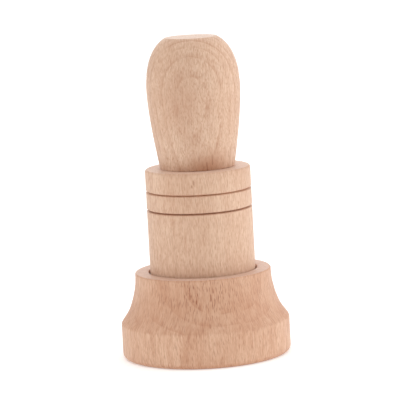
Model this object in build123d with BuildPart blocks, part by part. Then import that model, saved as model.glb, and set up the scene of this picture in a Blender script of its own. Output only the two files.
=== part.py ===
from build123d import *
import os

# A turned beech screw nutcracker. A barrel with a closed floor stands loose in a flared stand,
# and a wooden screw with a pear-shaped grip comes down through the barrel's threaded mouth onto the nut.
# Millimetres, +Z up, origin on the table at the centre of the stand. The screw is turned fully down.

# Stand
stand_radius = 45.0
stand_rim_height = 18.6
stand_height = 45.7
stand_neck_radius = 36.3
stand_bottom_round = 3.0
stand_shoulder_round = 2.6
stand_top_round = 0.9
underside_radius = 35.0
underside_depth = 2.0
socket_gap = 0.75
socket_floor = 21.7
socket_chamfer = 0.4

# Barrel
barrel_radius = 28.1
barrel_top = 100.9
barrel_top_round = 1.3
barrel_foot_chamfer = 1.0
groove_heights = (79.3, 89.1)
groove_depths = (1.8, 1.3)
groove_half_width = 0.65
groove_lip_round = 0.2
chamber_radius = 18.5
chamber_floor = 31.7
chamber_top = 74.2
mouth_radius = 18.8
mouth_depth = 1.3

# Wooden thread: one start, right hand, rounded
thread_pitch = 7.0
thread_offset = 1.1
thread_core_radius = 16.6
thread_clearance = 0.35

# Screw spindle
spindle_end = 58.9
spindle_pilot_radius = 15.2
spindle_pilot_length = 3.0
thread_start_length = 2.4
spindle_end_chamfer = 0.8
neck_length = 2.0
tenon_radius = 10.0
tenon_length = 30.0
tenon_chamfer = 1.0
glue_clearance = 0.03

# Grip
grip_bottom_radius = 19.9
grip_top_radius = 13.6
grip_length = 69.3
grip_bottom_chamfer = 0.3
grip_top_round = 0.5

# Pressure foot, hung under the spindle on a wood screw
foot_radius = 15.4
foot_bottom = 47.2
foot_chamfer = 0.8
dish_radius = 13.2
foot_dish_depth = 3.6
floor_dish_depth = 3.0
pocket_radius = 5.5
pocket_roof = 54.2
pivot_clearance = 0.3
shank_radius = 2.0
shank_length = 23.0
shank_point = 3.0
pilot_hole_depth = 21.0
head_radius = 4.0
head_height = 2.4
slot_width = 1.0
slot_depth = 1.1
washer_radius = 4.9
washer_thickness = 0.8
washer_clearance = 0.25
washer_round = 0.15

grip_top = barrel_top + grip_length
thread_start = spindle_end + spindle_pilot_length
crest_radius = thread_core_radius + thread_offset + 0.2
washer_bottom = pocket_roof - washer_thickness


def thread_body(radius, bottom, top):
    """An off-centre disc that turns once per pitch as it rises: a rounded one-start thread."""
    start_angle = 360 * bottom / thread_pitch % 360
    turn = 360 * (top - bottom) / thread_pitch
    with BuildSketch(Plane.XY.offset(bottom)) as disc:
        with PolarLocations(thread_offset, 1, start_angle=start_angle):
            Circle(radius)
    return Solid.extrude_linear_with_rotation(disc.sketch.face(), (0, 0, bottom), (0, 0, top - bottom), turn)


def circle_edges(part, radius, height):
    """The round edges of one radius at one height."""
    level = part.edges().filter_by(GeomType.CIRCLE)
    level = level.filter_by(lambda edge: abs(edge.radius - radius) < 0.01)
    return level.filter_by(lambda edge: abs(edge.center().Z - height) < 0.01)


# Stand: a flared foot with a straight rim and a socket that the barrel stands in
socket_radius = barrel_radius + socket_gap
with BuildPart() as base:
    with BuildSketch(Plane.XZ):
        with BuildLine():
            Polyline((0, underside_depth), (underside_radius - underside_depth, underside_depth),
                     (underside_radius, 0), (stand_radius, 0), (stand_radius, stand_rim_height))
            Spline((stand_radius, stand_rim_height), (41.5, 23.7), (38.7, 30.2), (36.9, 37.2),
                   (stand_neck_radius, stand_height), tangents=((-0.55, 1), (0, 1)))
            Polyline((stand_neck_radius, stand_height), (socket_radius, stand_height),
                     (socket_radius, socket_floor), (0, socket_floor), (0, underside_depth))
        make_face()
    revolve(axis=Axis.Z)
    fillet(circle_edges(base, stand_radius, 0), stand_bottom_round)
    fillet(circle_edges(base, stand_radius, stand_rim_height), stand_shoulder_round)
    fillet(circle_edges(base, stand_neck_radius, stand_height), stand_top_round)
    chamfer(circle_edges(base, socket_radius, stand_height), socket_chamfer)
base.part.label = "base"

# Barrel: closed at the bottom, threaded at the mouth with an eased lead-in, two V grooves round the outside
with BuildPart() as barrel:
    with BuildSketch(Plane.XZ):
        with BuildLine():
            floor_dish = TangentArc((0, chamber_floor - floor_dish_depth), (dish_radius, chamber_floor),
                                    tangent=(1, 0))
            Polyline(floor_dish @ 1, (chamber_radius, chamber_floor), (chamber_radius, chamber_top),
                     (0, chamber_top), (0, barrel_top), (barrel_radius, barrel_top),
                     (barrel_radius, socket_floor), (0, socket_floor), floor_dish @ 0)
        make_face()
        for height, depth in zip(groove_heights, groove_depths):
            with BuildLine():
                Polyline((barrel_radius + depth, height + 2 * groove_half_width),
                         (barrel_radius - depth, height),
                         (barrel_radius + depth, height - 2 * groove_half_width), close=True)
            make_face(mode=Mode.SUBTRACT)
    revolve(axis=Axis.Z)
    for height in groove_heights:
        fillet(circle_edges(barrel, barrel_radius, height + groove_half_width), groove_lip_round)
        fillet(circle_edges(barrel, barrel_radius, height - groove_half_width), groove_lip_round)
    add(thread_body(thread_core_radius + thread_clearance, chamber_top - 1, barrel_top + 1),
        mode=Mode.SUBTRACT)
    with BuildSketch(Plane.XZ):
        with BuildLine():
            Polyline((0, barrel_top), (mouth_radius, barrel_top),
                     (mouth_radius - mouth_depth, barrel_top - mouth_depth),
                     (0, barrel_top - mouth_depth), close=True)
        make_face()
    revolve(axis=Axis.Z, mode=Mode.SUBTRACT)
    fillet(circle_edges(barrel, barrel_radius, barrel_top), barrel_top_round)
    chamfer(circle_edges(barrel, barrel_radius, socket_floor), barrel_foot_chamfer)
barrel.part.label = "barrel"

# Spindle: the wooden screw, with a plain pilot end, a tapered start, a relieved neck and a tenon for the grip
with BuildPart() as screw_spindle:
    with BuildSketch(Plane.XY.offset(spindle_end)):
        Circle(spindle_pilot_radius)
    extrude(amount=barrel_top - spindle_end)
    chamfer(screw_spindle.faces().sort_by(Axis.Z)[0].edges(), spindle_end_chamfer)
    add(thread_body(thread_core_radius, thread_start, barrel_top - neck_length))
    with BuildSketch(Plane.XZ):
        with BuildLine():
            Polyline((spindle_pilot_radius, thread_start), (crest_radius, thread_start),
                     (crest_radius, thread_start + thread_start_length), close=True)
        make_face()
    revolve(axis=Axis.Z, mode=Mode.SUBTRACT)
    with BuildSketch(Plane.XY.offset(barrel_top)):
        Circle(tenon_radius)
    extrude(amount=tenon_length)
    chamfer(screw_spindle.faces().sort_by(Axis.Z)[-1].edges(), tenon_chamfer)
    with BuildSketch(Plane.XY.offset(spindle_end)):
        Circle(shank_radius + glue_clearance)
    extrude(amount=pilot_hole_depth, mode=Mode.SUBTRACT)
screw_spindle.part.label = "screw_spindle"

# Grip: a pear with a flat top, glued on the spindle's tenon
with BuildPart() as grip:
    with BuildSketch(Plane.XZ):
        with BuildLine():
            Spline((grip_bottom_radius, barrel_top), (22.6, 118.0), (24.6, 135.1), (24.95, 144.7),
                   (24.05, 153.2), (21.5, 161.45), (18.0, 166.75), (grip_top_radius, grip_top))
            Polyline((grip_top_radius, grip_top), (0, grip_top), (0, barrel_top),
                     (grip_bottom_radius, barrel_top))
        make_face()
    revolve(axis=Axis.Z)
    fillet(circle_edges(grip, grip_top_radius, grip_top), grip_top_round)
    chamfer(circle_edges(grip, grip_bottom_radius, barrel_top), grip_bottom_chamfer)
    with BuildSketch(Plane.XY.offset(barrel_top)):
        Circle(tenon_radius + glue_clearance)
    extrude(amount=tenon_length + 1, mode=Mode.SUBTRACT)
grip.part.label = "grip"

# Pressure foot: a dished disc that swivels under the spindle's end
with BuildPart() as pressure_foot:
    with BuildSketch(Plane.XZ):
        with BuildLine():
            foot_dish = TangentArc((0, foot_bottom + foot_dish_depth), (dish_radius, foot_bottom),
                                   tangent=(1, 0))
            Polyline(foot_dish @ 1, (foot_radius, foot_bottom), (foot_radius, spindle_end),
                     (0, spindle_end), foot_dish @ 0)
        make_face()
    revolve(axis=Axis.Z)
    chamfer(circle_edges(pressure_foot, foot_radius, foot_bottom), foot_chamfer)
    chamfer(circle_edges(pressure_foot, foot_radius, spindle_end), foot_chamfer)
    with BuildSketch(Plane.XY.offset(foot_bottom)):
        Circle(pocket_radius)
    extrude(amount=pocket_roof - foot_bottom, mode=Mode.SUBTRACT)
    with BuildSketch(Plane.XY.offset(pocket_roof)):
        Circle(shank_radius + pivot_clearance)
    extrude(amount=spindle_end - pocket_roof, mode=Mode.SUBTRACT)
pressure_foot.part.label = "pressure_foot"

# Washer in the foot's pocket
with BuildPart() as foot_washer:
    with BuildSketch(Plane.XY.offset(washer_bottom)):
        Circle(washer_radius)
        Circle(shank_radius + washer_clearance, mode=Mode.SUBTRACT)
    extrude(amount=washer_thickness)
    fillet(circle_edges(foot_washer, washer_radius, washer_bottom), washer_round)
foot_washer.part.label = "foot_washer"

# Round-head wood screw that holds the foot, head down in the pocket, its thread a plain shank
with BuildPart() as foot_screw:
    with BuildSketch(Plane.XZ):
        with BuildLine():
            dome = TangentArc((0, washer_bottom - head_height), (head_radius, washer_bottom), tangent=(1, 0))
            Polyline(dome @ 1, (shank_radius, washer_bottom),
                     (shank_radius, washer_bottom + shank_length - shank_point),
                     (0, washer_bottom + shank_length), dome @ 0)
        make_face()
    revolve(axis=Axis.Z)
    with BuildSketch(Plane.XY.offset(washer_bottom - head_height)):
        Rectangle(2 * head_radius, slot_width)
    extrude(amount=slot_depth, mode=Mode.SUBTRACT)
foot_screw.part.label = "foot_screw"

os.makedirs("parts", exist_ok=True)
for piece in (base, barrel, screw_spindle, grip, pressure_foot, foot_washer, foot_screw):
    export_step(piece.part, f"parts/{piece.part.label}.step")
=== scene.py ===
import math
from dataclasses import dataclass
from typing import NamedTuple

import bpy
from mathutils import Matrix, Vector


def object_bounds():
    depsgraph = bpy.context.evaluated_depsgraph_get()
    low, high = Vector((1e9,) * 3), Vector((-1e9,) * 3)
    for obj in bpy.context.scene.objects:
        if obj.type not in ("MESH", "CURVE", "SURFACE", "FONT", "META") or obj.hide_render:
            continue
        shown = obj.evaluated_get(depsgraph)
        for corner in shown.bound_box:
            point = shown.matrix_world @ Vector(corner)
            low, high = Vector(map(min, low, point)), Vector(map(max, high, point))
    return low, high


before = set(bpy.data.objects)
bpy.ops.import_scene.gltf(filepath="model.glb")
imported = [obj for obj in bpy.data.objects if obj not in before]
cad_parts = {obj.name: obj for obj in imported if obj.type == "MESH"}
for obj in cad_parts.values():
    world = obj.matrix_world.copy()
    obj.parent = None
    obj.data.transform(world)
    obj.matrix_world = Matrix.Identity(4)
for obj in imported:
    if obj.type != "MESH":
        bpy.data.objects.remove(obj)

cad_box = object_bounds()
LOW, HIGH = (Vector(corner) for corner in cad_box)
MIDDLE = (0, 0, (LOW.z + HIGH.z) / 2)
MM_PER_METRE = 1000.0


# ---------------------------------------------------------------- material nodes

def srgb(red, green, blue):
    """A linear colour from 0 to 255 display values."""
    channels = (value / 255 for value in (red, green, blue))
    return tuple(c / 12.92 if c <= 0.04045 else ((c + 0.055) / 1.055) ** 2.4 for c in channels) + (1.0,)


class Nodes:
    """A material's nodes written as expressions: a call takes sockets or numbers and gives back a socket."""

    def __init__(self, name):
        self.material = bpy.data.materials.new(name)
        self.material.use_nodes = True
        self.tree = self.material.node_tree
        self.tree.nodes.clear()

    def node(self, kind, inputs, **settings):
        """A new node, with a link to each input that is a socket and a value in each other one."""
        node = self.tree.nodes.new(kind)
        for key, value in settings.items():
            setattr(node, key, value)
        for key, value in inputs.items():
            if isinstance(value, bpy.types.NodeSocket):
                self.tree.links.new(value, node.inputs[key])
            else:
                node.inputs[key].default_value = value
        return node

    def add(self, kind, inputs, output=0, **settings):
        """One output of a new node."""
        return self.node(kind, inputs, **settings).outputs[output]

    # numbers

    def math(self, operation, *values):
        return self.add("ShaderNodeMath", dict(enumerate(values)), operation=operation)

    def plus(self, first, second):
        return self.math("ADD", first, second)

    def minus(self, first, second):
        return self.math("SUBTRACT", first, second)

    def times(self, first, second):
        return self.math("MULTIPLY", first, second)

    def step(self, value, low, high, at_low=0.0, at_high=1.0):
        """A smooth step of the value between two limits."""
        inputs = {"Value": value, "From Min": low, "From Max": high, "To Min": at_low, "To Max": at_high}
        return self.add("ShaderNodeMapRange", inputs, interpolation_type="SMOOTHSTEP")

    # vectors

    def vector(self, x, y, z):
        return self.add("ShaderNodeCombineXYZ", {0: x, 1: y, 2: z})

    def axes(self, vector):
        return tuple(self.node("ShaderNodeSeparateXYZ", {0: vector}).outputs)

    def vector_math(self, operation, *values):
        return self.add("ShaderNodeVectorMath", dict(enumerate(values)), operation=operation)

    def scaled(self, vector, x, y, z):
        """The vector with each axis multiplied."""
        return self.vector_math("MULTIPLY", vector, (x, y, z))

    def length(self, vector):
        return self.add("ShaderNodeVectorMath", {0: vector}, "Value", operation="LENGTH")

    def place(self):
        """The place in the solid, in metres. It moves with the body."""
        return self.add("ShaderNodeTexCoord", {}, "Object")

    def facing(self):
        """The direction that the surface faces, which also moves with the body."""
        return self.add("ShaderNodeTexCoord", {}, "Normal")

    # patterns and colours

    def noise(self, where, detail=2.0, roughness=0.5, output=0, depth=None):
        """Soft noise, with depth as a fourth coordinate where it is given."""
        inputs = {"Vector": where, "Scale": 1.0, "Detail": detail, "Roughness": roughness}
        if depth is None:
            return self.add("ShaderNodeTexNoise", inputs, output)
        return self.add("ShaderNodeTexNoise", {**inputs, "W": depth}, output, noise_dimensions="4D")

    def grain(self, where, width, length, **settings):
        """Soft noise that is stretched along the log, with spots of this width and length."""
        return self.noise(self.scaled(where, 1 / width, 1 / width, 1 / length), **settings)

    def mix(self, factor, first, second):
        """From the first colour to the second. Sockets 6, 7 and 2 are the ones for colours."""
        return self.add("ShaderNodeMix", {0: factor, 6: first, 7: second}, 2, data_type="RGBA")

    def tinted(self, color, where, strength, tone):
        """The colour turned towards a tone in 0 to 255 display values, at most by this strength."""
        return self.mix(self.times(where, strength), color, srgb(*tone))

    def bump(self, height, distance):
        return self.add("ShaderNodeBump", {"Height": height, "Distance": distance, "Strength": 1.0})

    def surface(self, color, roughness, normal, **fixed):
        inputs = {"Base Color": color, "Roughness": roughness, "Normal": normal, **fixed}
        shader = self.add("ShaderNodeBsdfPrincipled", inputs)
        self.node("ShaderNodeOutputMaterial", {0: shader})
        return self.material


# ---------------------------------------------------------------- beech

class Patch(NamedTuple):
    """A soft redder, darker place, with more dark dashes: its centre, and its reach along each axis. Some
    are redder wood, some painted shade.
    """
    centre: tuple
    reach: tuple
    redness: float
    extra_dashes: float


class Mark(NamedTuple):
    """One dark dash on the front: its place beside the axis, its height and half its length."""
    beside: float
    height: float
    reach: float


class Grooves(NamedTuple):
    """The band that grooves are turned in: its outer radius and two heights. The wood in the grooves gets
    painted shade.
    """
    outside: float
    lowest: float
    highest: float


@dataclass
class Beech:
    """What sets one piece of beech apart. Lengths are in millimetres, colours in 0 to 255 display values."""
    pith: tuple                         # the tree's centre, from the turning axis
    seed: float
    tilt: tuple = (0, 0, 0)             # how the tree's centre leans, in radians
    # how far from the pith the flecks have their real width; None stands for the turning axis
    ray_reach: float = None

    ring_width: float = 3.4
    ring_shift: float = 0.0
    ring_strength: float = 0.5
    waviness: float = 1.0

    fleck_length: float = 1.6
    fleck_strength: float = 0.58
    dash_strength: float = 0.15
    fibre_length: float = 3.8
    fibre_strength: float = 0.40
    streak_strength: float = 0.3
    end_grain_and_shade: float = 0.18         # darker on faces that are turned up or down: partly end grain, partly painted shade against the light from above

    patches: tuple = ()
    marks: tuple = ()
    grooves: Grooves = None

    pale: tuple = (228, 194, 167)
    mid: tuple = (216, 178, 150)
    dark: tuple = (187, 137, 107)
    deep: tuple = (152, 98, 68)
    flat: tuple = (240, 222, 209)       # painted highlight on end grain and turned rims: the whitish sheen they show at a grazing view


# growth rings: how many years in a row grow alike, how uneven they are, and how late in a year they darken
YEARS_ALIKE = 2.6
RING_UNEVENNESS = 0.8
RING_LATENESS = 3.2

# sizes in millimetres: a depth is how far flecks and fibres go along the rays before others take over
FLECK_WIDTH = 0.38
DASH_WIDTH = 0.42
DASH_LENGTH = 3.0
FIGURE_DEPTH = 6.0
FIBRE_WIDTH = 0.34
FIBRE_DEPTH = 2.0

MARK_HALF_WIDTH = 0.45
MARK_FADE = 5.0                         # a mark fades out over this much depth before it reaches the axis
MARK_STRENGTH = 0.55

# painted shade in the grooves: a dark brown on their walls, standing in for the shadow in the recess
GROOVE_SHADE_COLOR = (183, 117, 65)
GROOVE_SHADE_STRENGTH = 0.5
GROOVE_SHADE_DEPTHS = (0.2, 1.2)           # below the outside: where the painted shade begins, and where it is full
GROOVE_SHADE_FADE = 0.5


def log_coordinates(n, wood, place):
    """The place in the log, its distance from the wavy pith, and a place in which the rays are parallel."""
    log = n.add("ShaderNodeMapping", {"Vector": place, "Location": (-wood.pith[0], -wood.pith[1], wood.seed),
                                      "Rotation": wood.tilt})
    sway = n.grain(log, width=34, length=75, detail=1.5, output="Color")
    sway = n.vector_math("SUBTRACT", sway, (0.5, 0.5, 0.5))
    bent = n.vector_math("ADD", log, n.scaled(sway, 2 * wood.waviness, 2 * wood.waviness, 0))
    across, through, along = n.axes(bent)
    radius = n.length(n.vector(across, through, 0))
    spread = n.math("DIVIDE", wood.ray_reach or math.hypot(*wood.pith), radius)
    return log, radius, n.vector(n.times(across, spread), n.times(through, spread), along)


def late_wood(n, wood, log, radius):
    """Growth rings of uneven width: each darkens towards its end, more in some places than in others."""
    era = n.vector(n.times(radius, 1 / (YEARS_ALIKE * wood.ring_width)), wood.seed, 0)
    ring = n.plus(n.times(radius, 1 / wood.ring_width), wood.ring_shift / wood.ring_width)
    ring = n.plus(ring, n.times(n.noise(era, detail=1.0), RING_UNEVENNESS))
    phase = n.math("FRACT", ring)
    darkness_of_ring = n.add("ShaderNodeTexWhiteNoise", {"W": n.math("FLOOR", ring)}, noise_dimensions="1D")
    late = n.times(n.math("POWER", phase, RING_LATENESS), n.step(phase, 0.93, 1.0, 1.0, 0.0))
    late = n.times(late, n.step(darkness_of_ring, 0.0, 1.0, 0.9, 1.6))
    clearness = n.grain(log, width=8, length=13)
    return n.times(late, n.step(clearness, 0.36, 0.62, 0.15, 1.0))


def ray_figure(n, wood, rays, radius, late):
    """Ray flecks and darker dashes: short on a face turned to the bark, broad on a face turned to a ray."""
    depth = n.times(radius, 1 / FIGURE_DEPTH)
    more_in_late_wood = n.times(late, 0.03)
    flecks = n.grain(rays, FLECK_WIDTH, wood.fleck_length, detail=1.0, depth=depth)
    dashes = n.grain(rays, DASH_WIDTH, DASH_LENGTH, detail=0.0, depth=depth)
    return (n.step(n.plus(flecks, more_in_late_wood), 0.49, 0.68),
            n.step(n.plus(dashes, more_in_late_wood), 0.58, 0.74))


def near_patch(n, patch, place, cloud):
    """1 in the middle of a patch and 0 outside it, with a cloudy edge."""
    away = n.vector_math("SUBTRACT", place, patch.centre)
    away = n.length(n.vector_math("DIVIDE", away, patch.reach))
    return n.step(n.plus(away, n.times(cloud, 0.8)), 0.3, 1.6, 1.0, 0.0)


def near_mark(n, mark, x, y, z):
    """1 in the middle of a mark and 0 outside it, on the front only."""
    beside = n.math("MULTIPLY_ADD", x, 1 / MARK_HALF_WIDTH, -mark.beside / MARK_HALF_WIDTH)
    above = n.math("MULTIPLY_ADD", z, 1 / mark.reach, -mark.height / mark.reach)
    on_front = n.step(y, -MARK_FADE, 0, 1.0, 0.0)
    return n.step(n.length(n.vector(beside, 0, above)), 0.4, 1.3, on_front, 0.0)


def in_grooves(n, grooves, x, y, z):
    """1 on the walls of the grooves, where the painted shade goes, and 0 outside them."""
    begins, full = (grooves.outside - depth for depth in GROOVE_SHADE_DEPTHS)
    inside = n.step(n.length(n.vector(x, y, 0)), full, begins, 1.0, 0.0)
    inside = n.times(inside, n.step(z, grooves.lowest, grooves.lowest + GROOVE_SHADE_FADE))
    return n.times(inside, n.step(z, grooves.highest - GROOVE_SHADE_FADE, grooves.highest, 1.0, 0.0))


def beech(name, wood):
    """Bare sanded beech as a solid: growth rings round a pith, ray flecks that point at it, and fibre."""
    n = Nodes(name)
    place = n.scaled(n.place(), MM_PER_METRE, MM_PER_METRE, MM_PER_METRE)
    x, y, z = n.axes(place)
    log, radius, rays = log_coordinates(n, wood, place)
    late = late_wood(n, wood, log, radius)
    fleck, dash = ray_figure(n, wood, rays, radius, late)
    fibre = n.grain(rays, FIBRE_WIDTH, wood.fibre_length, detail=1.0, roughness=0.6,
                    depth=n.times(radius, 1 / FIBRE_DEPTH))
    streak = n.grain(log, width=1.5, length=45)
    cloud = n.grain(log, width=19, length=34)
    facing_up = n.math("ABSOLUTE", n.axes(n.facing())[2])
    flat_face = n.step(facing_up, 0.80, 1.0)

    # slow changes of colour: the wood's tone, and darkening that is partly painted shade
    tone = n.plus(n.times(n.step(streak, 0.30, 0.70), wood.streak_strength),
                  n.times(n.step(cloud, 0.30, 0.70), 1 - wood.streak_strength))
    color = n.mix(tone, srgb(*wood.mid), srgb(*wood.pale))
    # darker on faces turned up or down: partly end grain, partly painted shade against the light from above
    color = n.mix(n.step(facing_up, 0.02, 0.50, 0.0, wood.end_grain_and_shade), color, srgb(*wood.dark))
    dash_strength = wood.dash_strength
    # patches: redder wood in some, painted shade in others
    for patch in wood.patches:
        near = near_patch(n, patch, place, cloud)
        color = n.tinted(color, near, patch.redness, wood.dark)
        dash_strength = n.plus(dash_strength, n.times(near, patch.extra_dashes))

    # the figure, from broad to fine
    color = n.tinted(color, late, wood.ring_strength, wood.dark)
    color = n.mix(n.step(fibre, 0.32, 0.62, wood.fibre_strength, 0.0), color, srgb(*wood.dark))
    color = n.tinted(color, fleck, wood.fleck_strength, wood.dark)
    color = n.tinted(color, dash, dash_strength, wood.deep)
    for mark in wood.marks:
        color = n.tinted(color, near_mark(n, mark, x, y, z), MARK_STRENGTH, wood.deep)

    # painted highlight on faces turned up or down, and painted shade in the grooves
    color = n.tinted(color, flat_face, 0.2, wood.flat)
    if wood.grooves:
        # painted shade on the walls of the grooves
        color = n.tinted(color, in_grooves(n, wood.grooves, x, y, z), GROOVE_SHADE_STRENGTH, GROOVE_SHADE_COLOR)

    relief = n.minus(n.minus(fibre, n.times(dash, 0.6)), n.times(late, 0.3))
    roughness = n.minus(n.step(fibre, 0.3, 0.7, 0.66, 0.52), n.times(flat_face, 0.06))
    sheen = {"Sheen Weight": 0.10, "Sheen Roughness": 0.4}
    return n.surface(color, roughness, n.bump(relief, 0.00008), **sheen)


# ---------------------------------------------------------------- the pieces

def steel(name):
    """Zinc-plated steel, a little brushed, with scratches about 1 mm long and 0.2 mm apart."""
    n = Nodes(name)
    scratch = n.noise(n.scaled(n.place(), 900, 5200, 900), detail=3.0)
    scratched = n.step(scratch, 0.3, 0.7)
    color = n.mix(scratched, (0.46, 0.47, 0.49, 1), (0.62, 0.63, 0.64, 1))
    return n.surface(color, n.step(scratch, 0.3, 0.7, 0.28, 0.42), n.bump(scratch, 0.00001), Metallic=1.0)


def paint(node, material):
    """Gives a CAD node its material."""
    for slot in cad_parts[node].material_slots:
        slot.material = material


# from the outer part of a log: nested rings on the front and the back, flakes on the sides
paint("grip", beech("beech_grip", Beech(
    pith=(6, 102.5), seed=11.0, tilt=(-0.045, 0, 0), ray_reach=115, ring_shift=0.6, ring_strength=0.54,
    fleck_strength=0.54, end_grain_and_shade=0.0,
    # the lower patch, at the foot of the grip, is partly painted shade under the barrel's rim and partly
    # redder wood; the upper one is painted shade on the front
    patches=(Patch(centre=(5, -20, 102), reach=(18, 16, 12), redness=0.88, extra_dashes=0.6),
             Patch(centre=(-5, -24, 137), reach=(14, 12, 27), redness=0.52, extra_dashes=0.1)),
    pale=(228, 196, 170), mid=(217, 180, 152))))

# even and straight
paint("barrel", beech("beech_barrel", Beech(
    pith=(-20, 130), seed=5.0, ray_reach=140, ring_strength=0.15, fleck_strength=0.40, fleck_length=2.2,
    marks=(Mark(beside=-2.5, height=96.0, reach=1.5), Mark(beside=-3.5, height=94.0, reach=1.0)),
    grooves=Grooves(outside=28.1, lowest=77.0, highest=91.5))))

# redder, from near the middle of a log
paint("base", beech("beech_base", Beech(
    pith=(4, -9), seed=31.0, tilt=(0.05, 0.03, 0), ray_reach=38, ring_width=3.6, ring_strength=0.35,
    waviness=2.0, fleck_length=2.4, fleck_strength=0.45, dash_strength=0.30, fibre_length=9.0,
    fibre_strength=0.50, end_grain_and_shade=0.30,
    patches=(Patch(centre=(2, -22, 38), reach=(60, 45, 14), redness=0.28, extra_dashes=0.20),
             Patch(centre=(0, -40, 36), reach=(17, 16, 15), redness=0.08, extra_dashes=0.75),
             Patch(centre=(0, -43, 23), reach=(6, 8, 5), redness=0.35, extra_dashes=0.2)),
    pale=(228, 190, 161), mid=(217, 173, 143), dark=(186, 129, 96), deep=(150, 84, 52),
    # the base's painted highlight on faces turned up or down
    flat=(236, 226, 218))))

paint("screw_spindle", beech("beech_spindle", Beech(pith=(30, 90), seed=47.0)))
paint("pressure_foot", beech("beech_foot", Beech(pith=(-25, 60), seed=71.0)))
for fastener in ("foot_screw", "foot_washer"):
    paint(fastener, steel("zinc_steel"))


# ---------------------------------------------------------------- floor, light and camera

def floor(size=30):
    """A wide pale floor that gives off a little light, so that the contact shadow stays faint.

    It has soft patches half a metre wide and a speckle of 2.5 mm.
    """
    bpy.ops.mesh.primitive_plane_add(size=size, location=(0, 0, LOW.z))
    plane = bpy.context.object
    plane.name = "floor"
    n = Nodes("floor_white")
    here = n.place()
    tone = n.mix(n.noise(n.scaled(here, 2, 2, 2)), (0.90, 0.90, 0.895, 1), (0.92, 0.92, 0.92, 1))
    speckle = n.bump(n.noise(n.scaled(here, 400, 400, 400)), 0.00002)
    glow = {"Emission Color": (1, 1, 1, 1), "Emission Strength": 0.25}
    plane.data.materials.append(n.surface(tone, 0.9, speckle, **glow))


def soft_light(name, place, size, power, color=(1, 1, 1)):
    """A square soft light that faces the middle of the object."""
    data = bpy.data.lights.new(name, "AREA")
    data.size = size
    data.energy = power
    data.color = color
    lamp = bpy.data.objects.new(name, data)
    lamp.location = place
    lamp.rotation_euler = (Vector(MIDDLE) - Vector(place)).to_track_quat("-Z", "Y").to_euler()
    bpy.context.scene.collection.objects.link(lamp)


def studio_sky(at_horizon, overhead):
    """A white sky that is brighter towards the top, like a light tent."""
    world = bpy.data.worlds.new("studio")
    world.use_nodes = True
    nodes, links = world.node_tree.nodes, world.node_tree.links
    direction = nodes.new("ShaderNodeTexCoord")
    height = nodes.new("ShaderNodeSeparateXYZ")
    ramp = nodes.new("ShaderNodeMapRange")
    ramp.inputs["To Min"].default_value = at_horizon
    ramp.inputs["To Max"].default_value = overhead
    links.new(direction.outputs["Generated"], height.inputs[0])
    links.new(height.outputs["Z"], ramp.inputs["Value"])
    background = nodes["Background"]
    background.inputs["Color"].default_value = (1, 1, 1, 1)
    links.new(ramp.outputs[0], background.inputs["Strength"])
    bpy.context.scene.world = world


def camera(distance, elevation, roll, lens, aim):
    """A long lens that looks along +Y and a little down, leaned by roll. Angles are in degrees."""
    elevation, roll = math.radians(elevation), math.radians(roll)
    data = bpy.data.cameras.new("camera")
    data.lens = lens
    data.sensor_width = 36.0
    data.clip_end = 100.0
    forward = Vector((0, math.cos(elevation), -math.sin(elevation)))
    right = Vector((1, 0, 0))
    up = right.cross(forward)
    side = math.cos(roll) * right + math.sin(roll) * up
    top = math.cos(roll) * up - math.sin(roll) * right
    turn = Matrix((side, top, -forward)).transposed().to_4x4()
    eye = bpy.data.objects.new("camera", data)
    eye.matrix_world = Matrix.Translation(Vector(aim) - distance * forward) @ turn
    bpy.context.scene.collection.objects.link(eye)
    bpy.context.scene.camera = eye


floor()
soft_light("key_right", (1.1, 0.10, 0.42), size=0.8, power=4.2, color=(0.95, 0.98, 1.0))
soft_light("fill_left", (-1.1, 0.15, 0.45), size=0.8, power=1.3)
soft_light("back", (0, 1.5, 0.35), size=1.2, power=6)
studio_sky(at_horizon=0.33, overhead=1.30)
camera(distance=1.385, elevation=8.31, roll=-3.03, lens=234.0, aim=(0.00043, 0, LOW.z + 0.08286))
bpy.context.scene.view_settings.view_transform = "Standard"
